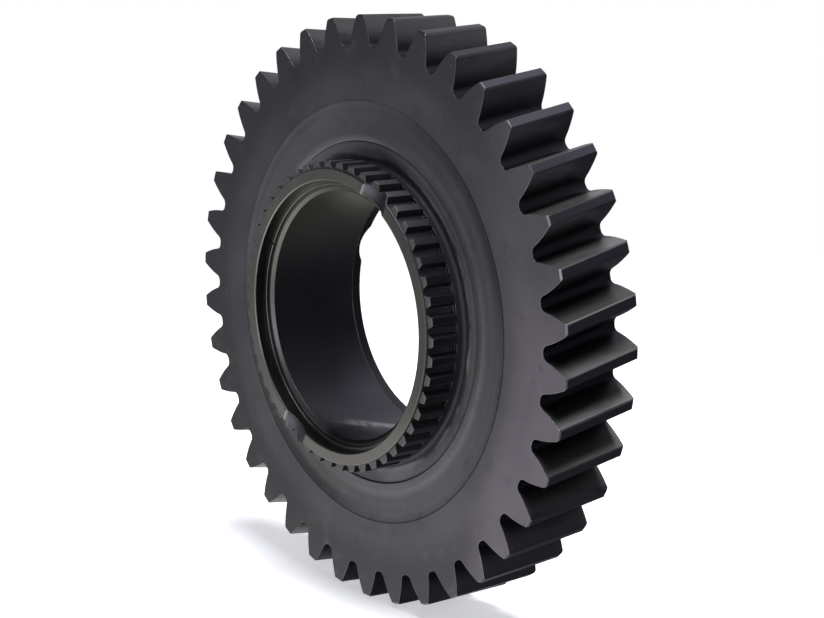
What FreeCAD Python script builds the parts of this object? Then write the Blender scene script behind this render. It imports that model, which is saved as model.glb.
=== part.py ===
import FreeCAD, Part
import math
import os
import Sketcher
from FreeCAD import Placement, Rotation, Vector

# A helical speed gear for a gearbox shaft. One steel wheel carries 38 left-hand helical
# teeth on its rim and 50 short clutch teeth on its hub. It turns on a plain bush, which is
# trapped between a lip at the back of the wheel's bore and a retaining ring at the front.
#
# Frame: the axis of rotation is Y, the hub and its clutch teeth point to -Y (the front),
# +Z is up, and the origin is on the axis at the middle of the toothed rim's width.
# "..._face", "..._floor", "..._back" and "..._end" sizes are distances from that middle.

SIZES = (
    # helical teeth
    ("tooth_count", 38),
    ("tooth_module", 6.0),
    ("helix_angle", 10.6),
    ("pressure_angle", 22.5),
    ("tip_radius", 122.0),
    ("root_radius", 109.2),
    ("root_fillet", 2.6),
    ("tooth_backlash", 0.30),
    ("tooth_turn", 92.52),
    ("tip_chamfer", 0.7),
    ("tip_break", 0.6),
    # rim, web and trough, front side
    ("rim_face", 18.5),
    ("step_radius", 87.6),
    ("step_rounding", 33.0),
    ("land_face", 18.0),
    ("land_radius", 84.6),
    ("crown_radius", 73.3),
    ("crown_rounding", 20.0),
    ("crest_radius", 71.3),
    ("crest_face", 17.75),
    ("trough_radius", 70.8),
    ("trough_edge", 17.3),
    ("trough_floor", 16.4),
    ("trough_rounding", 1.5),
    ("collar_radius", 62.5),
    # hub and its clutch teeth
    ("hub_face", 34.5),
    ("hub_chamfer", 0.4),
    ("clutch_tooth_count", 50),
    ("clutch_tip_radius", 63.9),
    ("clutch_root_radius", 61.1),
    ("clutch_end", 33.5),
    ("clutch_shoulder", 21.7),
    ("clutch_back", 20.3),
    ("clutch_gap_root", 2.5),
    ("clutch_gap_tip", 5.1),
    ("clutch_turn", 3.35),
    ("clutch_chamfer", 0.3),
    # bore of the wheel
    ("counterbore_radius", 56.0),
    ("counterbore_floor", 28.8),
    ("groove_radius", 57.4),
    ("groove_front", 29.9),
    ("seat_radius", 55.0),
    ("lip_front", 14.5),
    ("lip_radius", 51.6),
    ("lip_chamfer", 0.3),
    # rear side
    ("rear_land_face", 19.0),
    ("rear_land_radius", 66.0),
    ("rear_step_radius", 69.0),
    # oil slots across the hub's two end faces
    ("cutter_radius", 15.5),
    ("front_slot_depth", 2.3),
    ("front_slot_turn", 61.8),
    ("rear_slot_depth", 3.0),
    ("rear_slot_turn", 156.5),
    ("slot_reach", 67.0),
    # bush
    ("bush_bore_radius", 51.5),
    ("bush_outer_radius", 54.95),
    ("bush_front", 28.7),
    ("bush_back", 14.4),
    ("bush_front_chamfer", 1.25),
    ("bush_back_chamfer", 0.2),
    # retaining ring
    ("ring_inner_radius", 54.1),
    ("ring_outer_radius", 57.3),
    ("ring_front", 29.85),
    ("ring_back", 28.85),
    ("ring_gap", 0.7),
    ("ring_gap_turn", 153.0),
    ("ring_edge", 0.25),
)

SHEET = "Sizes"
FLANK_POINTS = 7        # points on each involute, joined by one smooth curve
END_OVERRUN = 5.0       # how far the tooth form stands past both faces of the wheel
TIP_OVERRUN = 1.0       # and past the tooth tips, still short of where the sides meet

doc = FreeCAD.newDocument("helical_gear")


def make_sheet():
    """Write the driving dimensions, one to a row, with the name as alias."""
    sheet = doc.addObject("Spreadsheet::Sheet", SHEET)
    for row, (name, value) in enumerate(SIZES, start=1):
        sheet.set("A%d" % row, name)
        sheet.set("B%d" % row, str(value))
        sheet.setAlias("B%d" % row, name)
    doc.recompute()
    return sheet


sizes = make_sheet()


def size(name):
    """The value of one driving dimension."""
    return float(sizes.get(name))


def cell(name):
    """The expression text that points at one driving dimension."""
    return "%s.%s" % (SHEET, name)


def origin_plane(body, role):
    """One of a body's own origin planes or axes."""
    for feature in body.Origin.OriginFeatures:
        if feature.Role == role:
            return feature
    raise ValueError("no origin feature " + role)


def new_body(name):
    """A PartDesign body, which is one turned or milled piece."""
    body = doc.addObject("PartDesign::Body", name)
    body.Label = name
    return body


def section_sketch(body, name, corners):
    """A closed half section of straight edges, drawn in the XY plane beside the Y axis.

    Each corner is (radius, distance from the middle, side), where side is -1 in front of
    the middle and +1 behind it. Both distances are bound to the sheet.
    """
    sketch = body.newObject("Sketcher::SketchObject", name)
    sketch.AttachmentSupport = [(origin_plane(body, "XY_Plane"), "")]
    sketch.MapMode = "FlatFace"
    points = [Vector(size(radius), side * size(along), 0) for radius, along, side in corners]
    count = len(points)
    for index in range(count):
        line = Part.LineSegment(points[index], points[(index + 1) % count])
        sketch.addGeometry(line, False)
    for index in range(count):
        following = (index + 1) % count
        sketch.addConstraint(Sketcher.Constraint("Coincident", index, 2, following, 1))
    for index, (radius, along, side) in enumerate(corners):
        across = Sketcher.Constraint("DistanceX", -1, 1, index, 1, size(radius))
        bind_constraint(sketch, across, "radius_%d" % index, cell(radius))
        ends = (-1, 1, index, 1) if side > 0 else (index, 1, -1, 1)
        lengthwise = Sketcher.Constraint("DistanceY", *ends, size(along))
        bind_constraint(sketch, lengthwise, "along_%d" % index, cell(along))
    return sketch


def bind_constraint(sketch, constraint, name, expression):
    """Add a dimension to a sketch and bind it to the sheet."""
    index = sketch.addConstraint(constraint)
    sketch.renameConstraint(index, name)
    sketch.setExpression("Constraints." + name, expression)


def turn_section(body, name, sketch):
    """Revolve a half section about the Y axis."""
    turned = body.newObject("PartDesign::Revolution", name)
    turned.Profile = sketch
    turned.ReferenceAxis = (sketch, ["V_Axis"])
    turned.Angle = 360
    doc.recompute()
    return turned


def round_edges(shape, wanted):
    """Names of the full-circle edges at the wanted (radius, Y) places."""
    names = []
    for index, edge in enumerate(shape.Edges, start=1):
        if not hasattr(edge.Curve, "Radius"):
            continue
        for radius, along in wanted:
            same_radius = abs(edge.Curve.Radius - radius) < 1e-4
            same_place = abs(edge.Curve.Center.y - along) < 1e-4
            if same_radius and same_place:
                names.append("Edge%d" % index)
    if len(names) != len(wanted):
        raise ValueError("edges found %d, wanted %d" % (len(names), len(wanted)))
    return names


def dress_edges(body, kind, name, base, wanted, alias):
    """Fillet or chamfer the circular edges of a turned feature."""
    feature = body.newObject("PartDesign::" + kind, name)
    feature.Base = (base, round_edges(base.Shape, wanted))
    dimension = "Radius" if kind == "Fillet" else "Size"
    feature.setExpression(dimension, cell(alias))
    doc.recompute()
    return feature


# ---------------------------------------------------------------- the wheel

def wheel_blank():
    """The turned wheel: hub, trough, shallow dished land, rim and stepped bore.

    The land lies a little behind the rim's face and rises to it in a wide hollow curve.
    """
    body = new_body("wheel_blank")
    front, rear = -1, 1
    section = section_sketch(body, "wheel_section", (
        ("counterbore_radius", "hub_face", front),
        ("clutch_root_radius", "hub_face", front),
        ("clutch_root_radius", "clutch_end", front),
        ("clutch_tip_radius", "clutch_end", front),
        ("clutch_tip_radius", "clutch_shoulder", front),
        ("collar_radius", "clutch_back", front),
        ("collar_radius", "trough_floor", front),
        ("trough_radius", "trough_edge", front),
        ("crest_radius", "crest_face", front),
        ("crown_radius", "land_face", front),
        ("land_radius", "land_face", front),
        ("step_radius", "rim_face", front),
        ("tip_radius", "rim_face", front),
        ("tip_radius", "rim_face", rear),
        ("rear_step_radius", "rim_face", rear),
        ("rear_land_radius", "rear_land_face", rear),
        ("lip_radius", "rear_land_face", rear),
        ("lip_radius", "lip_front", rear),
        ("seat_radius", "lip_front", rear),
        ("seat_radius", "counterbore_floor", front),
        ("groove_radius", "counterbore_floor", front),
        ("groove_radius", "groove_front", front),
        ("counterbore_radius", "groove_front", front),
    ))
    turned = turn_section(body, "wheel_turned", section)
    troughed = dress_edges(body, "Fillet", "trough_fillet", turned, (
        (size("collar_radius"), -size("trough_floor")),
    ), "trough_rounding")
    crowned = dress_edges(body, "Fillet", "crown_fillet", troughed, (
        (size("crown_radius"), -size("land_face")),
    ), "crown_rounding")
    stepped = dress_edges(body, "Fillet", "step_fillet", crowned, (
        (size("land_radius"), -size("land_face")),
    ), "step_rounding")
    tipped = dress_edges(body, "Chamfer", "tip_chamfers", stepped, (
        (size("tip_radius"), -size("rim_face")),
        (size("tip_radius"), size("rim_face")),
    ), "tip_chamfer")
    hubbed = dress_edges(body, "Chamfer", "hub_chamfers", tipped, (
        (size("counterbore_radius"), -size("hub_face")),
        (size("clutch_root_radius"), -size("hub_face")),
    ), "hub_chamfer")
    clutched = dress_edges(body, "Chamfer", "clutch_chamfers", hubbed, (
        (size("clutch_tip_radius"), -size("clutch_end")),
    ), "clutch_chamfer")
    dress_edges(body, "Chamfer", "lip_chamfers", clutched, (
        (size("lip_radius"), size("rear_land_face")),
    ), "lip_chamfer")
    cut_clutch_teeth(body)
    return body


def clutch_gap_sketch(body):
    """One gap between two clutch teeth: a trapezium that is wider at the tips."""
    sketch = body.newObject("Sketcher::SketchObject", "clutch_gap")
    sketch.AttachmentSupport = [(origin_plane(body, "XZ_Plane"), "")]
    sketch.MapMode = "FlatFace"
    turn = Rotation(Vector(0, 0, 1), size("clutch_turn"))
    sketch.AttachmentOffset = Placement(Vector(0, 0, size("clutch_back")), turn)
    sketch.setExpression("AttachmentOffset.Base.z", cell("clutch_back"))
    inner = size("clutch_root_radius")
    outer = size("clutch_tip_radius")
    narrow = size("clutch_gap_root") / 2
    wide = size("clutch_gap_tip") / 2
    points = (Vector(inner, -narrow, 0), Vector(outer, -wide, 0),
              Vector(outer, wide, 0), Vector(inner, narrow, 0))
    count = len(points)
    for index in range(count):
        line = Part.LineSegment(points[index], points[(index + 1) % count])
        sketch.addGeometry(line, False)
    for index in range(count):
        following = (index + 1) % count
        sketch.addConstraint(Sketcher.Constraint("Coincident", index, 2, following, 1))
    for first, second in ((0, 3), (1, 2)):
        mirror = Sketcher.Constraint("Symmetric", first, 1, second, 1, -1)
        sketch.addConstraint(mirror)
    dimensions = (
        (("DistanceX", -1, 1, 0, 1, inner), "gap_inner", cell("clutch_root_radius")),
        (("DistanceX", -1, 1, 1, 1, outer), "gap_outer", cell("clutch_tip_radius")),
        (("DistanceY", 0, 1, 3, 1, 2 * narrow), "gap_root", cell("clutch_gap_root")),
        (("DistanceY", 1, 1, 2, 1, 2 * wide), "gap_tip", cell("clutch_gap_tip")),
    )
    for values, name, expression in dimensions:
        bind_constraint(sketch, Sketcher.Constraint(*values), name, expression)
    return sketch


def cut_clutch_teeth(body):
    """Cut one gap forwards from the collar, then repeat it round the hub."""
    sketch = clutch_gap_sketch(body)
    doc.recompute()
    before = body.Shape.Volume
    gap = body.newObject("PartDesign::Pocket", "clutch_gap_cut")
    gap.Profile = sketch
    gap.Type = 0
    gap.Reversed = True
    gap.setExpression("Length", "%s - %s" % (cell("hub_face"), cell("clutch_back")))
    doc.recompute()
    if gap.Shape.Volume >= before:
        raise ValueError("the clutch gap cuts nothing")
    ring = body.newObject("PartDesign::PolarPattern", "clutch_gaps")
    ring.Originals = [gap]
    ring.Axis = (sketch, ["N_Axis"])
    ring.Angle = 360
    ring.setExpression("Occurrences", cell("clutch_tooth_count"))
    body.Tip = ring
    doc.recompute()


# ---------------------------------------------------------------- the helical teeth

def involute(angle):
    """The involute function of a pressure angle in radians."""
    return math.tan(angle) - angle


def on_circle(radius, angle):
    """A point of the tooth outline, which is drawn in the XY plane."""
    return Vector(radius * math.cos(angle), radius * math.sin(angle), 0)


def tooth_figures():
    """Radii and angles of the tooth outline, in the plane square to the axis."""
    helix = math.radians(size("helix_angle"))
    across = math.tan(math.radians(size("pressure_angle"))) / math.cos(helix)
    pressure = math.atan(across)
    pitch = size("tooth_module") * size("tooth_count") / math.cos(helix) / 2
    base = pitch * math.cos(pressure)
    half = math.pi / (2 * size("tooth_count")) - size("tooth_backlash") / (4 * pitch)
    lead = 2 * math.pi * pitch / math.tan(helix)
    return base, half + involute(pressure), lead


def flank_angle(radius, base, half_at_base):
    """Half the tooth's angular width at a radius."""
    return half_at_base - involute(math.acos(base / radius))


def tooth_outline(turn):
    """The closed outline of all the helical teeth, with rounded roots and broken tips.

    Each flank ends a little below the tip, and a 45 degree line goes on from there.
    """
    base, half_at_base, _ = tooth_figures()
    flank_end = size("tip_radius") - size("tip_break")
    tip = size("tip_radius") + TIP_OVERRUN
    tip_angle = flank_angle(flank_end, base, half_at_base) - (tip - flank_end) / tip
    root = size("root_radius")
    fillet = size("root_fillet")
    # the root rounding touches the root circle and the involute at this radius
    reach = math.sqrt(fillet ** 2 + root ** 2 + 2 * root * fillet - base ** 2) - fillet
    touch = math.hypot(base, reach)
    touch_pressure = math.acos(base / touch)
    touch_angle = flank_angle(touch, base, half_at_base)
    sideways = math.atan2(fillet * math.cos(touch_pressure),
                          touch + fillet * math.sin(touch_pressure))
    foot_angle = touch_angle + sideways
    centre_radius = root + fillet
    step = 2 * math.pi / size("tooth_count")
    spacing = (flank_end - touch) / (FLANK_POINTS - 1)
    radii = [touch + spacing * i for i in range(FLANK_POINTS)]
    edges = []
    for index in range(int(size("tooth_count"))):
        middle = turn + index * step
        for side in (-1, 1):
            flank = [on_circle(r, middle + side * flank_angle(r, base, half_at_base))
                     for r in radii]
            curve = Part.BSplineCurve()
            curve.interpolate(flank)
            centre = on_circle(centre_radius, middle + side * foot_angle)
            foot = on_circle(root, middle + side * foot_angle)
            inward = (foot - centre).normalize() + (flank[0] - centre).normalize()
            bend = centre + inward.normalize() * fillet
            edges.append(Part.Arc(flank[0], bend, foot).toShape())
            edges.append(curve.toShape())
            edges.append(Part.makeLine(flank[-1], on_circle(tip, middle + side * tip_angle)))
        edges.append(Part.Arc(on_circle(tip, middle - tip_angle), on_circle(tip, middle),
                              on_circle(tip, middle + tip_angle)).toShape())
        after = middle + step / 2
        edges.append(Part.Arc(on_circle(root, middle + foot_angle), on_circle(root, after),
                              on_circle(root, middle + step - foot_angle)).toShape())
    return Part.Wire(Part.__sortEdges__(edges))


def tooth_form():
    """A long twisted bar with the helical teeth on it, which trims the turned blank.

    It is drawn along Z and then laid along Y. Towards the front (-Y) the teeth turn
    clockwise as seen from the front, which is a left-hand helix.
    """
    back = -(size("rear_land_face") + END_OVERRUN)
    length = size("hub_face") + END_OVERRUN - back
    _, _, lead = tooth_figures()
    turn = math.radians(size("tooth_turn")) - 2 * math.pi * back / lead
    outline = tooth_outline(turn)
    spine = Part.Wire(Part.makeLine(Vector(0, 0, 0), Vector(0, 0, length)))
    left_handed = True
    guide = Part.makeHelix(lead, length, size("tip_radius"), 0, left_handed)
    sweep = Part.BRepOffsetAPI.MakePipeShell(spine)
    sweep.setAuxiliarySpine(Part.Wire(guide), True, False)
    sweep.add(outline)
    sweep.build()
    sweep.makeSolid()
    form = doc.addObject("Part::Feature", "tooth_form")
    form.Shape = sweep.shape()
    lay_along_y = Rotation(Vector(1, 0, 0), 90)
    form.Placement = Placement(Vector(0, -back, 0), lay_along_y)
    return form


def oil_slot(name, turn, along):
    """A round cutter laid across the axis; along is the expression of its Y place."""
    cutter = doc.addObject("Part::Cylinder", name)
    cutter.setExpression("Radius", cell("cutter_radius"))
    cutter.setExpression("Height", "2 * " + cell("slot_reach"))
    angle = math.radians(size(turn))
    direction = Vector(math.cos(angle), 0, math.sin(angle))
    start = direction * -size("slot_reach")
    cutter.Placement = Placement(start, Rotation(Vector(0, 0, 1), direction))
    cutter.setExpression("Placement.Base.y", along)
    return cutter


def gear_wheel():
    """The finished wheel: blank, less the oil slots, trimmed to the helical teeth."""
    blank = wheel_blank()
    front = oil_slot("front_slot_cutter", "front_slot_turn", "%s - %s - %s" % (
        cell("front_slot_depth"), cell("hub_face"), cell("cutter_radius")))
    rear = oil_slot("rear_slot_cutter", "rear_slot_turn", "%s - %s + %s" % (
        cell("rear_land_face"), cell("rear_slot_depth"), cell("cutter_radius")))
    cutters = doc.addObject("Part::MultiFuse", "slot_cutters")
    cutters.Shapes = [front, rear]
    slotted = doc.addObject("Part::Cut", "slotted_blank")
    slotted.Base = blank
    slotted.Tool = cutters
    wheel = doc.addObject("Part::MultiCommon", "gear_wheel")
    wheel.Label = "gear_wheel"
    wheel.Shapes = [slotted, tooth_form()]
    doc.recompute()
    return wheel


# ---------------------------------------------------------------- bush and ring

def bearing_bush():
    """The plain bush that the wheel turns on, with a wide bevel at its front mouth."""
    body = new_body("bearing_bush")
    section = section_sketch(body, "bush_section", (
        ("bush_bore_radius", "bush_front", -1),
        ("bush_outer_radius", "bush_front", -1),
        ("bush_outer_radius", "bush_back", 1),
        ("bush_bore_radius", "bush_back", 1),
    ))
    turned = turn_section(body, "bush_turned", section)
    mouthed = dress_edges(body, "Chamfer", "bush_front_mouth", turned, (
        (size("bush_bore_radius"), -size("bush_front")),
    ), "bush_front_chamfer")
    dress_edges(body, "Chamfer", "bush_back_mouth", mouthed, (
        (size("bush_bore_radius"), size("bush_back")),
    ), "bush_back_chamfer")
    return body


def retaining_ring():
    """The open ring in the wheel's groove, with a gap between its ends."""
    body = new_body("retaining_ring")
    section = section_sketch(body, "ring_section", (
        ("ring_inner_radius", "ring_front", -1),
        ("ring_outer_radius", "ring_front", -1),
        ("ring_outer_radius", "ring_back", -1),
        ("ring_inner_radius", "ring_back", -1),
    ))
    turned = turn_section(body, "ring_turned", section)
    gap_angle = "%s / %s * 180 / pi" % (cell("ring_gap"), cell("ring_inner_radius"))
    turned.setExpression("Angle", "360 - " + gap_angle)
    doc.recompute()
    dress_edges(body, "Fillet", "ring_edges", turned, (
        (size("ring_inner_radius"), -size("ring_front")),
        (size("ring_inner_radius"), -size("ring_back")),
    ), "ring_edge")
    body.Placement = Placement(Vector(0, 0, 0), Rotation(Vector(0, -1, 0), size("ring_gap_turn")))
    return body


def check_and_write(pieces):
    """Stop on any failed object, then write one STEP file for each piece."""
    doc.recompute()
    for item in doc.Objects:
        if "Invalid" in item.State or "Error" in item.State:
            raise RuntimeError("%s failed: %s" % (item.Name, item.State))
    for piece in pieces:
        shape = piece.Shape
        if shape.isNull() or not shape.isValid() or len(shape.Solids) != 1:
            raise RuntimeError("%s is not one sound solid" % piece.Label)
    os.makedirs("parts", exist_ok=True)
    for piece in pieces:
        piece.Shape.exportStep(os.path.join("parts", piece.Label + ".step"))
        box = piece.Shape.BoundBox
        print("%s: %.1f x %.1f x %.1f mm, %.1f cm3" % (
            piece.Label, box.XLength, box.YLength, box.ZLength, piece.Shape.Volume / 1000))


check_and_write((gear_wheel(), bearing_bush(), retaining_ring()))
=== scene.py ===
"""The looks of a helical gear: its steel, a pale floor, soft studio light and the camera.

Everything is in metres, in the frame of the CAD model: the gear's axis is Y, its hub and
clutch teeth point to -Y, and +Z is up. Left and right are meant as seen from the hub side.
"""
import math

import bpy
from mathutils import Matrix, Vector


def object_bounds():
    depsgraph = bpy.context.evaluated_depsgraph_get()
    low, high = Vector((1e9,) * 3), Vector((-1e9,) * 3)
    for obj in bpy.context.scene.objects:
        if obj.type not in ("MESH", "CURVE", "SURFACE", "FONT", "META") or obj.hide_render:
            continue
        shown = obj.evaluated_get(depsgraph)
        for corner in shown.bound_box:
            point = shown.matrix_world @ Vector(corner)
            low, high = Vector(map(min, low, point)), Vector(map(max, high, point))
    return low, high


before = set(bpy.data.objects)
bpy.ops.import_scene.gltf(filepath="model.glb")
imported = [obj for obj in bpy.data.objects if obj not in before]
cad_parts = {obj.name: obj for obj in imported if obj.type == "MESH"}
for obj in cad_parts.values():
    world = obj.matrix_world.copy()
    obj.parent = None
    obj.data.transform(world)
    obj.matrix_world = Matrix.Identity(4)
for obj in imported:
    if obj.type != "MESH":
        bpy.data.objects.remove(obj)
cad_low, cad_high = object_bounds()

MM = 0.001
HUB_FACE = cad_low.y                # the thrust face, the frontmost plane
FLOOR_Z = cad_low.z

# radii on the wheel, in metres; a pair is where a region or a change starts and ends
TIP_RADIUS = 0.1220                 # crests of the helical teeth
ROOT_RADIUS = 0.1092                # floor of the gaps between them
RIM_SHADE = (0.094, 0.107)          # the rim darkens towards the teeth
OUTER_GROOVE = (0.08735, 0.08790)   # fine turned line that bounds the land
LAND = (0.0714, 0.0870)             # the shallow dished land
CREST_RADIUS = 0.0713               # edge of the trough round the hub
INNER_GROOVE = (0.07060, 0.07110)   # fine line between the land and the trough
TROUGH = (0.0640, 0.0705)
CLUTCH_TIP_RADIUS = 0.0639
CLUTCH_ROOT_RADIUS = 0.0611
THRUST_EDGE = (0.0607, 0.0613)      # outer edge of the front thrust ring
COUNTERBORE_RADIUS = 0.0560
BORE_LIP = (0.0530, 0.0526)         # inwards, to the lip behind the bush

# places along the axis, in metres
CLUTCH_END = -0.0335                # plane of the clutch teeth's front ends
CLUTCH_TOPS = (-0.0336, -0.0216)
SLOT_FLOOR = -0.0322
BUSH_END = (-0.02740, -0.02750)     # forwards, to the bush's bevelled front end
TROUGH_WALL = (-0.0201, -0.0040)    # foot of the hub, behind the clutch teeth
REAR_FACE = (0.0170, 0.0180)        # backwards, to the rear face

CLOUD_RANGE = (0.3, 0.7)            # from the dark to the pale patches of soft noise
NOISE_MIDDLE = 0.5                  # the value that noise lies around
EDGE_WEAR = (0.995, 0.86)           # bevel against true normal, from flat to crisp edge

# the Mix node's sockets, by number because their names repeat
COLOUR_FIRST = 6
COLOUR_SECOND = 7
COLOUR_RESULT = 2
NUMBER_FIRST = 2
NUMBER_SECOND = 3
NUMBER_RESULT = 0


# ---------------------------------------------------------------- node helpers

def paint(red, green, blue):
    """An opaque colour."""
    return (red, green, blue, 1.0)


class Shader:
    """A short way to write the node tree of a material or world as formulas."""

    def __init__(self, owner):
        self.owner = owner
        owner.use_nodes = True
        self.tree = owner.node_tree
        self.tree.nodes.clear()

    def node(self, kind, inputs=None, **settings):
        made = self.tree.nodes.new("ShaderNode" + kind)
        for key, value in settings.items():
            setattr(made, key, value)
        for key, value in (inputs or {}).items():
            self.feed(made.inputs[key], value)
        return made

    def feed(self, socket, value):
        if isinstance(value, bpy.types.NodeSocket):
            self.tree.links.new(value, socket)
        else:
            socket.default_value = value

    def finish(self, kind, surface):
        """End the tree in an output of this kind and give back its material or world."""
        out = self.node(kind)
        self.tree.links.new(surface.outputs[0], out.inputs[0])
        return self.owner

    def maths(self, operation, first, second=0.0):
        return self.node("Math", {0: first, 1: second}, operation=operation).outputs[0]

    def add(self, first, second):
        return self.maths("ADD", first, second)

    def times(self, first, second):
        return self.maths("MULTIPLY", first, second)

    def most(self, first, second):
        return self.maths("MAXIMUM", first, second)

    def swing(self, noise, size):
        """Noise made to swing round zero, as wide as size."""
        return self.times(self.add(noise, -NOISE_MIDDLE), size)

    def change(self, value, start, end, low, high, **settings):
        made = self.node("MapRange", {"Value": value, "From Min": start, "From Max": end,
                                      "To Min": low, "To Max": high}, **settings)
        return made.outputs[0]

    def step(self, value, start, end, low=0.0, high=1.0):
        """A smooth step from low to high as value goes from start to end."""
        return self.change(value, start, end, low, high, interpolation_type="SMOOTHSTEP")

    def ramp(self, value, start, end, low=0.0, high=1.0):
        """A straight line from low to high, held beyond both ends."""
        return self.change(value, start, end, low, high)

    def between(self, value, low, high, blur=0.0003):
        """1 where value lies between two places, with soft ends."""
        rise = self.step(value, low - blur, low + blur)
        fall = self.step(value, high + blur, high - blur)
        return self.times(rise, fall)

    def noise(self, vector, scale, detail=2.0, roughness=0.5):
        made = self.node("TexNoise", {"Vector": vector, "Scale": scale, "Detail": detail,
                                      "Roughness": roughness})
        return made.outputs[0]

    def mix(self, share, first, second):
        """Between two colours."""
        made = self.node("Mix", data_type="RGBA")
        self.feed(made.inputs["Factor"], share)
        self.feed(made.inputs[COLOUR_FIRST], first)
        self.feed(made.inputs[COLOUR_SECOND], second)
        return made.outputs[COLOUR_RESULT]

    def blend(self, share, first, second):
        """Between two numbers."""
        made = self.node("Mix", data_type="FLOAT")
        self.feed(made.inputs["Factor"], share)
        self.feed(made.inputs[NUMBER_FIRST], first)
        self.feed(made.inputs[NUMBER_SECOND], second)
        return made.outputs[NUMBER_RESULT]

    def vector(self, x, y, z):
        return self.node("CombineXYZ", {0: x, 1: y, 2: z}).outputs[0]


class Steel(Shader):
    """The tree of one steel, with the place of the shaded point and its worn edges ready."""

    def __init__(self, name, edge_mm):
        super().__init__(bpy.data.materials.new(name))
        self.place = self.node("TexCoord").outputs["Object"]
        self.x, self.y, self.z = self.node("SeparateXYZ", {0: self.place}).outputs
        square = self.add(self.times(self.x, self.x), self.times(self.z, self.z))
        self.radius = self.maths("SQRT", square)
        self.angle = self.maths("ARCTAN2", self.z, self.x)
        # wear is 1 on the crisp edges and 0 away from them
        self.soft = self.node("Bevel", {"Radius": edge_mm * MM}, samples=6).outputs[0]
        self.normal = self.node("NewGeometry").outputs["Normal"]
        dot = self.node("VectorMath", {0: self.soft, 1: self.normal}, operation="DOT_PRODUCT")
        self.wear = self.step(dot.outputs["Value"], *EDGE_WEAR)

    def towards(self, x_share, z_share):
        """How far the point lies to one side of the face, such as (1, -1) for lower right."""
        return self.add(self.times(self.x, x_share), self.times(self.z, z_share))

    def stretched(self, across, along):
        """The place scaled by one number across the axis and by another along it."""
        return self.vector(self.times(self.x, across), self.times(self.y, along),
                           self.times(self.z, across))

    def ringed(self, value, fineness, round_axis, rest=0.0):
        """A place for marks that run in rings, finely spaced in value."""
        return self.vector(self.times(value, fineness), self.times(self.angle, round_axis), rest)

    def metal(self, colour, rough, height, strength, depth_mm):
        """The metal surface that ends each steel: its colour, polish and fine relief."""
        bump = self.node("Bump", {"Height": height, "Strength": strength,
                                  "Distance": depth_mm * MM, "Normal": self.soft})
        surface = self.node("BsdfPrincipled", {"Base Color": colour, "Metallic": 1.0,
                                               "Roughness": rough, "Normal": bump.outputs[0]})
        return self.finish("OutputMaterial", surface)


# ---------------------------------------------------------------- the wheel's faces

def rim_colour(s, clouds, stains):
    """The rim's flat face: blue-grey, darker towards the teeth and paler on the right."""
    dark = paint(0.082, 0.082, 0.095)
    pale = paint(0.102, 0.101, 0.116)
    tooth_side = paint(0.067, 0.067, 0.079)
    upper_tint = paint(0.114, 0.113, 0.128)
    mauve_tint = paint(0.142, 0.127, 0.151)
    colour = s.mix(s.step(clouds, 0.33, 0.70), dark, pale)
    colour = s.mix(s.step(s.radius, *RIM_SHADE), colour, tooth_side)
    right = s.times(s.step(s.radius, 0.086, 0.101), s.step(s.towards(1.0, -0.05), 0.062, 0.090))
    uneven = s.ramp(stains, 0.30, 0.60, 0.55, 1.0)
    tint = s.mix(s.step(s.z, 0.035, -0.010), upper_tint, mauve_tint)
    return s.mix(s.times(right, uneven), colour, tint)


def dish_colour(s, stains):
    """The dished land: painted shade makes it a little darker on the right and painted light
    makes it paler at the upper left.
    """
    dark = paint(0.088, 0.087, 0.098)
    pale = paint(0.106, 0.105, 0.117)
    right_tone = paint(0.090, 0.089, 0.101)
    upper_left_tone = paint(0.128, 0.127, 0.141)
    right = s.step(s.towards(1.0, 0.35), 0.020, 0.070)
    upper_left = s.step(s.towards(-1.0, 0.6), 0.035, 0.080)
    # painted shade on the right of the land
    colour = s.mix(right, s.mix(stains, dark, pale), right_tone)
    # painted light at the land's upper left
    return s.mix(upper_left, colour, upper_left_tone)


def lose_blue(s, colour, land):
    """The lower left of the face has a plainer grey."""
    rim_grey = paint(0.090, 0.090, 0.093)
    tooth_grey = paint(0.062, 0.062, 0.065)
    land_grey = paint(0.098, 0.098, 0.100)
    grey = s.mix(s.step(s.radius, *RIM_SHADE), rim_grey, tooth_grey)
    lower_left = s.step(s.towards(0.5, 1.0), -0.055, -0.095, 0.0, 0.60)
    return s.mix(lower_left, colour, s.mix(land, grey, land_grey))


def dish_light_and_shade(s, colour):
    """Painted shade in the dish's hollow outer edge, a painted highlight there at the lower
    right, and a painted highlight on its rise to the crest.
    """
    hollow_shade = paint(0.046, 0.046, 0.052)
    hollow_highlight = paint(0.150, 0.149, 0.163)
    painted_highlight = paint(0.165, 0.164, 0.180)
    hollow = s.times(s.step(s.radius, 0.0810, 0.0850), s.step(s.radius, 0.0880, 0.0874))
    lower_left = s.step(s.towards(1.0, 1.0), -0.050, -0.105, 0.45, 0.80)
    upper_left = s.step(s.towards(-1.0, 1.0), 0.095, 0.114, 0.0, 0.60)
    lower_right = s.step(s.towards(1.0, -1.0), 0.050, 0.100, 0.0, 0.80)
    # painted shade all round the hollow, deepest at the lower left
    colour = s.mix(s.times(hollow, s.most(lower_left, upper_left)), colour, hollow_shade)
    # painted highlight in the hollow at the lower right
    colour = s.mix(s.times(hollow, lower_right), colour, hollow_highlight)
    # painted highlight on the rise to the crest, strongest on the right
    rise = s.times(s.step(s.radius, 0.0785, 0.0745), s.step(s.radius, 0.0712, 0.0722))
    wear_and_highlight = s.step(s.towards(1.0, -0.35), -0.030, 0.035, 0.0, 0.75)
    return s.mix(s.times(rise, wear_and_highlight), colour, painted_highlight)


def rear_colour(s):
    """The rear face and its paler ground thrust ring."""
    plain = paint(0.150, 0.150, 0.160)
    ground = paint(0.280, 0.277, 0.268)
    return s.mix(s.step(s.radius, 0.0684, 0.0660), plain, ground)


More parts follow.
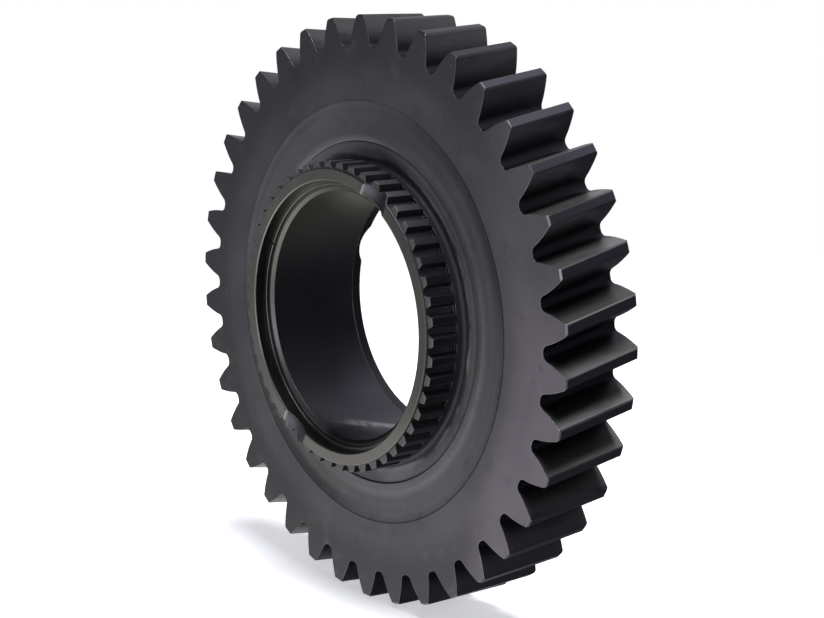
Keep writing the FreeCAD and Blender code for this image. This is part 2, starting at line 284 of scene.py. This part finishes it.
def mottle(s, colour):
    """Soft dark and pale spots over both faces."""
    dark = paint(0.055, 0.054, 0.066)
    pale = paint(0.128, 0.128, 0.141)
    spots = s.noise(s.vector(s.add(s.x, 0.7), s.y, s.z), 85.0, 5.0, 0.70)
    colour = s.mix(s.step(spots, 0.54, 0.74, 0.0, 0.40), colour, dark)
    return s.mix(s.step(spots, 0.46, 0.28, 0.0, 0.40), colour, pale)


def crest_highlight(s, colour):
    """The crest between the land and the trough gets a painted highlight, least at the upper
    left.
    """
    crest = s.times(s.step(s.radius, 0.0742, CREST_RADIUS), s.step(s.radius, 0.0705, 0.0710))
    side = s.step(s.towards(1.0, -0.8), -0.085, -0.050, 0.35, 1.0)
    # painted highlight along the crest
    return s.mix(s.times(crest, side), colour, paint(0.185, 0.185, 0.197))


def trough_colour(s, stains):
    """The trough round the hub: patchy, with painted shade at the upper left and painted light
    on the right.
    """
    dark = paint(0.125, 0.126, 0.141)
    pale = paint(0.190, 0.191, 0.204)
    upper_left_tone = paint(0.100, 0.101, 0.114)
    right_tone = paint(0.390, 0.390, 0.410)
    upper_left = s.step(s.towards(-1.0, 1.0), 0.030, 0.075)
    right = s.times(s.step(s.x, 0.010, 0.040), s.step(s.z, -0.045, -0.005, 0.0, 0.80))
    colour = s.mix(s.step(stains, 0.42, 0.60), dark, pale)
    # painted shade at the upper left of the trough
    colour = s.mix(upper_left, colour, upper_left_tone)
    # painted light on the right of the trough
    return s.mix(right, colour, right_tone)


def foot_and_groove_shade(s, colour, stains, front):
    """Painted shade in a ragged ring at the foot of the clutch teeth and in the two fine
    grooves.
    """
    foot_shade = paint(0.030, 0.030, 0.033)
    groove_shade = paint(0.022, 0.022, 0.026)
    # painted shade in a ragged ring at the foot of the clutch teeth, on the right
    ragged = s.add(s.radius, s.swing(stains, 0.012))
    ring = s.times(s.step(ragged, 0.0664, 0.0648), front)
    right = s.step(s.towards(1.0, 0.5), -0.030, 0.015, 0.0, 0.80)
    colour = s.mix(s.times(ring, right), colour, foot_shade)
    # painted shade in the two fine grooves, deepest at the lower right
    outer = s.between(s.radius, *OUTER_GROOVE, 0.00020)
    inner = s.times(s.between(s.radius, *INNER_GROOVE, 0.00015), 0.7)
    groove_shading = s.step(s.towards(-0.8, 1.0), 0.075, 0.000, 0.35, 0.85)
    grooves = s.times(s.times(s.most(outer, inner), front), groove_shading)
    return s.mix(grooves, colour, groove_shade)


def face_colour(s, clouds, stains):
    """The wheel's front and rear faces, from the trough out to the rim."""
    land = s.between(s.radius, *LAND, 0.0006)
    colour = s.mix(land, rim_colour(s, clouds, stains), dish_colour(s, stains))
    colour = dish_light_and_shade(s, lose_blue(s, colour, land))
    colour = s.mix(s.step(s.y, *REAR_FACE), colour, rear_colour(s))
    colour = crest_highlight(s, mottle(s, colour))
    front = s.step(s.y, 0.0, -0.001)
    trough = s.times(s.between(s.radius, *TROUGH, 0.0012), front)
    colour = s.mix(trough, colour, trough_colour(s, stains))
    return foot_and_groove_shade(s, colour, stains, front)


# ---------------------------------------------------------------- the wheel's hub

def clutch_colour(s, clouds):
    """The clutch teeth: near black and paler on their ends, with painted light on the uppermost
    tops and painted shade on the lower ones.
    """
    dark = paint(0.040, 0.040, 0.045)
    pale = paint(0.052, 0.052, 0.057)
    low_tops = paint(0.024, 0.024, 0.027)
    high_tops = paint(0.110, 0.110, 0.118)
    end_tone = paint(0.112, 0.111, 0.117)
    tops = s.times(s.step(s.radius, CLUTCH_TIP_RADIUS - 0.0003, CLUTCH_TIP_RADIUS - 0.0001),
                   s.between(s.y, *CLUTCH_TOPS))
    ends = s.step(s.y, CLUTCH_END + 0.00015, CLUTCH_END + 0.00005)
    colour = s.mix(s.step(clouds, *CLOUD_RANGE), dark, pale)
    # painted shade on the lower tops and painted light on the uppermost ones
    colour = s.mix(tops, colour, s.mix(s.step(s.z, 0.020, 0.068), low_tops, high_tops))
    return s.mix(ends, colour, end_tone)


def slot_floors(s):
    """1 on the floors of the oil slots across the front thrust ring."""
    deep = s.between(s.y, SLOT_FLOOR - 0.0018, SLOT_FLOOR + 0.0012, 0.0004)
    inner = COUNTERBORE_RADIUS + 0.0003
    outer = CLUTCH_ROOT_RADIUS - 0.0002
    return s.times(deep, s.between(s.radius, inner, outer, 0.0001))


def thrust_colour(s, clouds):
    """The ground thrust ring: warm grey, darker on the right and paler at the bottom."""
    dark = paint(0.122, 0.119, 0.111)
    pale = paint(0.150, 0.147, 0.139)
    right_tone = paint(0.080, 0.078, 0.074)
    bottom_tone = paint(0.190, 0.187, 0.176)
    right = s.times(s.step(s.x, 0.010, 0.045), s.step(s.z, -0.045, -0.010))
    bottom = s.step(s.z, -0.030, -0.050, 0.0, 0.60)
    colour = s.mix(right, s.mix(s.step(clouds, *CLOUD_RANGE), dark, pale), right_tone)
    return s.mix(bottom, colour, bottom_tone)


def hub_colour(s, clouds):
    """The hub inside the trough: clutch teeth, slots, thrust ring, counterbore and lip."""
    slot_tone = paint(0.052, 0.056, 0.070)
    edge_tone = paint(0.046, 0.046, 0.048)
    counterbore_tone = paint(0.038, 0.038, 0.036)
    lip_tone = paint(0.056, 0.056, 0.057)
    colour = s.mix(slot_floors(s), clutch_colour(s, clouds), slot_tone)
    thrust = s.step(s.y, HUB_FACE + 0.0003, HUB_FACE + 0.0001)
    colour = s.mix(thrust, colour, thrust_colour(s, clouds))
    # painted shade on the right of the thrust ring's outer edge
    edge = s.times(s.between(s.radius, *THRUST_EDGE, 0.0001), s.step(s.y, -0.0334, -0.0336))
    colour = s.mix(s.times(edge, s.step(s.x, -0.010, 0.010)), colour, edge_tone)
    # painted shade in the counterbore
    counterbore = s.times(s.step(s.radius, 0.0577, 0.0575), s.step(s.y, -0.0341, -0.0338))
    colour = s.mix(counterbore, colour, counterbore_tone)
    return s.mix(s.step(s.radius, *BORE_LIP), colour, lip_tone)


# ---------------------------------------------------------------- the wheel's helical teeth

def flank_colour(s, clouds, upward):
    """The flanks, with painted light and shade by the way they face: dark underneath, olive on
    top.
    """
    underside = paint(0.054, 0.054, 0.063)
    level = paint(0.104, 0.104, 0.108)
    upward_light = paint(0.118, 0.118, 0.109)
    sheen = paint(0.370, 0.370, 0.335)
    dark_streak = paint(0.038, 0.038, 0.046)
    pale_streak = paint(0.135, 0.135, 0.145)
    root_shade = paint(0.034, 0.034, 0.039)
    facing = s.add(upward, s.times(clouds, 0.5))
    # painted shade on the flanks that face down
    colour = s.mix(s.step(facing, -0.60, 0.35), underside, level)
    # painted light on the flanks that face up
    colour = s.mix(s.step(upward, 0.0, 0.75), colour, upward_light)
    # a painted sheen on the flanks that face straight up, just above the axis
    bright = s.times(s.step(upward, 0.93, 0.985), s.step(s.z, 0.010, 0.040))
    colour = s.mix(bright, colour, sheen)
    # faint grinding streaks run the length of each tooth
    streaks = s.noise(s.stretched(190.0, 22.0), 1.0, 3.0)
    colour = s.mix(s.step(streaks, 0.56, 0.72, 0.0, 0.45), colour, dark_streak)
    colour = s.mix(s.step(streaks, 0.44, 0.30, 0.0, 0.45), colour, pale_streak)
    # painted shade darkens the roots
    return s.mix(s.step(s.radius, ROOT_RADIUS + 0.0090, ROOT_RADIUS), colour, root_shade)


def crest_colour(s):
    """The teeth's crests: painted light makes them paler at the upper right and painted shade
    makes them darker at the very top.
    """
    plain = paint(0.094, 0.092, 0.109)
    top_tone = paint(0.060, 0.060, 0.066)
    upper_right_tone = paint(0.140, 0.137, 0.157)
    upper_right = s.times(s.step(s.x, 0.040, 0.075), s.between(s.z, 0.045, 0.100, 0.015))
    # painted shade on the crests at the very top
    colour = s.mix(s.step(s.z, 0.098, 0.112), plain, top_tone)
    # painted light on the crests at the upper right
    return s.mix(upper_right, colour, upper_right_tone)


# ---------------------------------------------------------------- the three steels

def wheel_steel():
    """Case-hardened gear steel: blue-black and satin, turned faces and ground flanks."""
    s = Steel("gear_steel", 0.30)
    normal = s.node("SeparateXYZ", {0: s.normal}).outputs
    on_face = s.step(s.maths("ABSOLUTE", normal["Y"]), 0.75, 0.95)

    # the stains' place is shifted, so that their pattern differs from the clouds'
    clouds = s.noise(s.place, 24.0, 4.0, 0.55)
    stains = s.noise(s.vector(s.x, s.times(s.y, 3.0), s.add(s.z, 0.31)), 34.0, 4.0, 0.62)
    grain = s.noise(s.place, 900.0, 2.0, 0.6)
    specks = s.step(s.noise(s.place, 420.0, 1.0, 0.4), 0.75, 0.80)

    # turning marks are rings on the faces; grinding marks run along the teeth
    rings = s.noise(s.ringed(s.radius, 3200.0, 1.5), 1.0, 3.0, 0.6)
    lines = s.noise(s.stretched(2600.0, 60.0), 1.0, 3.0)
    marks = s.blend(on_face, lines, rings)

    # where each region lies
    crests = s.step(s.radius, TIP_RADIUS - 0.0002, TIP_RADIUS - 0.00005)
    teeth = s.times(s.step(s.radius, ROOT_RADIUS - 0.0006, ROOT_RADIUS - 0.0001),
                    s.maths("SUBTRACT", 1.0, on_face))
    lip = s.step(s.radius, *BORE_LIP)
    inside = s.step(s.radius, CLUTCH_TIP_RADIUS + 0.0014, CLUTCH_TIP_RADIUS + 0.0002)
    hub = s.times(inside, s.most(s.step(s.y, 0.0125, 0.0120), lip))
    hub_rim = s.times(hub, s.step(s.radius, 0.0600, 0.0612))
    foot = s.times(s.step(s.radius, 0.0672, 0.0655), s.between(s.y, *TROUGH_WALL, 0.0002))

    flank = s.mix(crests, flank_colour(s, clouds, normal["Z"]), crest_colour(s))
    colour = s.mix(teeth, face_colour(s, clouds, stains), flank)
    colour = s.mix(hub, colour, hub_colour(s, clouds))
    colour = s.mix(s.times(s.wear, 0.38), colour, paint(0.23, 0.23, 0.235))
    colour = s.mix(s.times(specks, 0.16), colour, paint(0.24, 0.24, 0.25))

    rough = s.add(s.blend(on_face, 0.38, 0.46), s.swing(clouds, 0.14))
    rough = s.add(rough, s.swing(grain, 0.08))
    rough = s.add(rough, s.times(s.times(teeth, crests), -0.06))
    rough = s.blend(hub_rim, rough, 0.50)
    rough = s.blend(foot, rough, 0.64)
    rough = s.blend(lip, rough, 0.32)
    rough = s.blend(s.wear, rough, 0.34)
    height = s.add(s.times(marks, 0.7), s.times(grain, 0.5))
    return s.metal(colour, rough, height, 0.10, 0.06)


def bore_bottom_and_reflection(s, colour):
    """Low in the bore the front is darker, with a painted reflection streaking slantwise behind
    it.
    """
    front_dark = paint(0.030, 0.030, 0.030)
    painted_highlight = paint(0.42, 0.42, 0.415)
    low = s.step(s.z, -0.030, -0.045)
    front_dark_share = s.times(s.times(low, s.step(s.angle, -1.88, -1.72)), s.step(s.y, -0.009, -0.017))
    colour = s.mix(front_dark_share, colour, front_dark)
    # painted reflection: a ragged streak of light along the bottom of the bore
    ragged = s.noise(s.vector(s.times(s.x, 70.0), s.times(s.y, 240.0), 0.0), 1.0, 4.0, 0.65)
    slant = s.add(s.add(s.y, 0.0145), s.times(s.add(s.angle, 1.850), -0.062))
    streak = s.times(s.between(slant, -0.0040, 0.0045, 0.0022), s.step(s.angle, -1.94, -1.74))
    streak = s.times(s.times(streak, low), s.step(ragged, 0.30, 0.52))
    return s.mix(streak, colour, painted_highlight)


def bush_steel():
    """The bush: dark and fine-ground, with olive painted light at the top of its bore and paler
    painted light low down.
    """
    s = Steel("bush_steel", 0.3)
    dark = paint(0.056, 0.055, 0.060)
    pale = paint(0.076, 0.075, 0.080)
    top_tone = paint(0.190, 0.188, 0.160)
    bottom_tone = paint(0.088, 0.084, 0.094)
    end_tone = paint(0.095, 0.095, 0.091)
    worn = paint(0.20, 0.20, 0.20)
    rings = s.noise(s.ringed(s.y, 2400.0, 2.0), 1.0, 3.0, 0.6)
    clouds = s.noise(s.place, 34.0, 3.0, 0.5)
    top = s.step(s.z, 0.002, 0.040)
    end = s.step(s.y, *BUSH_END)
    colour = s.mix(s.step(clouds, *CLOUD_RANGE), dark, pale)
    # olive painted light at the top of the bore
    colour = s.mix(top, colour, top_tone)
    # painted light low in the bore
    colour = s.mix(s.step(s.z, -0.010, -0.034), colour, bottom_tone)
    colour = bore_bottom_and_reflection(s, s.mix(end, colour, end_tone))
    colour = s.mix(s.times(s.wear, 0.5), colour, worn)
    rough = s.add(s.blend(top, 0.31, 0.50), s.swing(clouds, 0.14))
    rough = s.blend(end, rough, 0.42)
    return s.metal(colour, rough, rings, 0.08, 0.05)


def ring_steel():
    """The retaining ring: spring steel, worn brighter on its edges."""
    s = Steel("ring_steel", 0.25)
    dark = paint(0.110, 0.110, 0.107)
    pale = paint(0.160, 0.159, 0.154)
    wear_and_highlight = paint(0.34, 0.34, 0.33)
    scuffs = s.noise(s.ringed(s.radius, 4000.0, 6.0, s.y), 1.0, 2.0)
    colour = s.mix(s.noise(s.place, 60.0, 3.0, 0.5), dark, pale)
    colour = s.mix(s.times(s.wear, 0.8), colour, wear_and_highlight)
    rough = s.add(0.26, s.times(scuffs, 0.16))
    return s.metal(colour, rough, scuffs, 0.10, 0.04)


def dress(node, material):
    """Give a CAD node its finished material."""
    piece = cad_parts[node]
    for held in piece.material_slots:
        held.link = "OBJECT"
        held.material = material


# ---------------------------------------------------------------- floor, light and camera

FLOOR_HALF = 1.1                    # half the floor's width
FLOOR_GAP = 0.0002                  # keeps the lowest tooth clear of the floor
FLOOR_FADE = (0.35, 1.0)            # where the floor starts to fade and is gone

LAMP_DISTANCE = 2.0
WARM = (1.0, 0.99, 0.94)
COOL = (0.96, 0.97, 1.05)
SMALL_PATCH = 17                    # degrees from a patch's middle to its rim
LARGE_PATCH = 36
AMBIENT = 0.11                      # brightness of the air around the gear

EYE = (0.5804, -0.4578, 0.1385)
LOOK = (-0.7669, 0.6147, -0.1845)
RIGHT_HAND = (0.6251, 0.7805, 0.0024)
SENSOR_MM = 36.0
LENS_MM = 78.3


def floor_material():
    """Pale card that fades out far from the gear, so that no horizon shows."""
    s = Shader(bpy.data.materials.new("pale_floor"))
    place = s.node("TexCoord").outputs["Object"]
    away = s.node("VectorMath", {0: place}, operation="LENGTH").outputs["Value"]
    colour = s.mix(s.noise(place, 3.0), paint(0.93, 0.93, 0.93), paint(0.96, 0.96, 0.96))
    card = s.node("BsdfPrincipled", {"Base Color": colour, "Roughness": 0.9,
                                     "Emission Color": colour, "Emission Strength": 0.45})
    clear = s.node("BsdfTransparent")
    surface = s.node("MixShader", {0: s.step(away, *FLOOR_FADE), 1: card.outputs[0],
                                   2: clear.outputs[0]})
    return s.finish("OutputMaterial", surface)


def lay_floor():
    """A wide plain floor that the lowest tooth stands on."""
    mesh = bpy.data.meshes.new("floor")
    signs = [(-1, -1), (1, -1), (1, 1), (-1, 1)]
    corners = [(x * FLOOR_HALF, y * FLOOR_HALF, 0) for x, y in signs]
    mesh.from_pydata(corners, [], [(0, 1, 2, 3)])
    floor = bpy.data.objects.new("floor", mesh)
    floor.location.z = FLOOR_Z - FLOOR_GAP
    mesh.materials.append(floor_material())
    # the patches of light below stand for the table, so the card itself stays out of
    # the gear's reflections and does not shade them
    floor.visible_glossy = False
    floor.visible_shadow = False
    bpy.context.scene.collection.objects.link(floor)


def heading(turn, height):
    """The unit vector towards a compass turn (0 in front, 90 to the right) and height."""
    turn = math.radians(turn)
    height = math.radians(height)
    flat = math.cos(height)
    return Vector((math.sin(turn) * flat, -math.cos(turn) * flat, math.sin(height)))


def soft_patch(name, direction, spread, glow, tint):
    """A far round patch of light, spread degrees from middle to rim, as bright as glow."""
    spread = math.radians(spread)
    lamp = bpy.data.lights.new(name, "SUN")
    lamp.angle = 2 * spread
    lamp.energy = glow * math.pi * math.sin(spread) ** 2
    lamp.color = tint
    holder = bpy.data.objects.new(name, lamp)
    holder.location = direction * LAMP_DISTANCE
    holder.rotation_euler = (-direction).to_track_quat("-Z", "Y").to_euler()
    bpy.context.scene.collection.objects.link(holder)


def light_studio():
    """A lamp overhead, one beside the camera, and the light that pale cards throw back."""
    soft_patch("overhead", heading(90, 78), SMALL_PATCH, 14.0, COOL)
    soft_patch("beside_camera", heading(45, 13), SMALL_PATCH, 4.6, COOL)
    soft_patch("behind", heading(-177, 11), SMALL_PATCH, 2.0, COOL)
    soft_patch("back_wall", heading(-165, 22), LARGE_PATCH, 0.40, COOL)
    soft_patch("table_front", heading(-7, -33), LARGE_PATCH, 2.5, WARM)
    soft_patch("table_left", heading(-92, -49), LARGE_PATCH, 1.1, WARM)


def fill_air():
    """Faint bluish light from all round, and plain white behind the gear."""
    s = Shader(bpy.data.worlds.new("studio"))
    seen = s.node("LightPath").outputs["Is Camera Ray"]
    ambient = s.node("Background", {0: paint(0.88, 0.90, 1.10), 1: AMBIENT})
    white = s.node("Background", {0: paint(1.0, 1.0, 1.0), 1: 1.0})
    mix = s.node("MixShader", {0: seen, 1: ambient.outputs[0], 2: white.outputs[0]})
    bpy.context.scene.world = s.finish("OutputWorld", mix)


def place_camera():
    """Seen from the front right and a little above, with a moderate telephoto lens."""
    forward = Vector(LOOK).normalized()
    right = Vector(RIGHT_HAND).normalized()
    up = right.cross(forward).normalized()
    turn = Matrix((right, up, -forward)).transposed()
    data = bpy.data.cameras.new("camera")
    data.sensor_width = SENSOR_MM
    data.lens = LENS_MM
    data.clip_start = 0.01
    data.clip_end = 50.0
    camera = bpy.data.objects.new("camera", data)
    camera.matrix_world = Matrix.Translation(Vector(EYE)) @ turn.to_4x4()
    bpy.context.scene.collection.objects.link(camera)
    bpy.context.scene.camera = camera


dress("gear_wheel", wheel_steel())
dress("bearing_bush", bush_steel())
dress("retaining_ring", ring_steel())
lay_floor()
light_studio()
fill_air()
place_camera()
bpy.context.scene.view_settings.view_transform = "Standard"
bpy.context.scene.view_settings.look = "None"
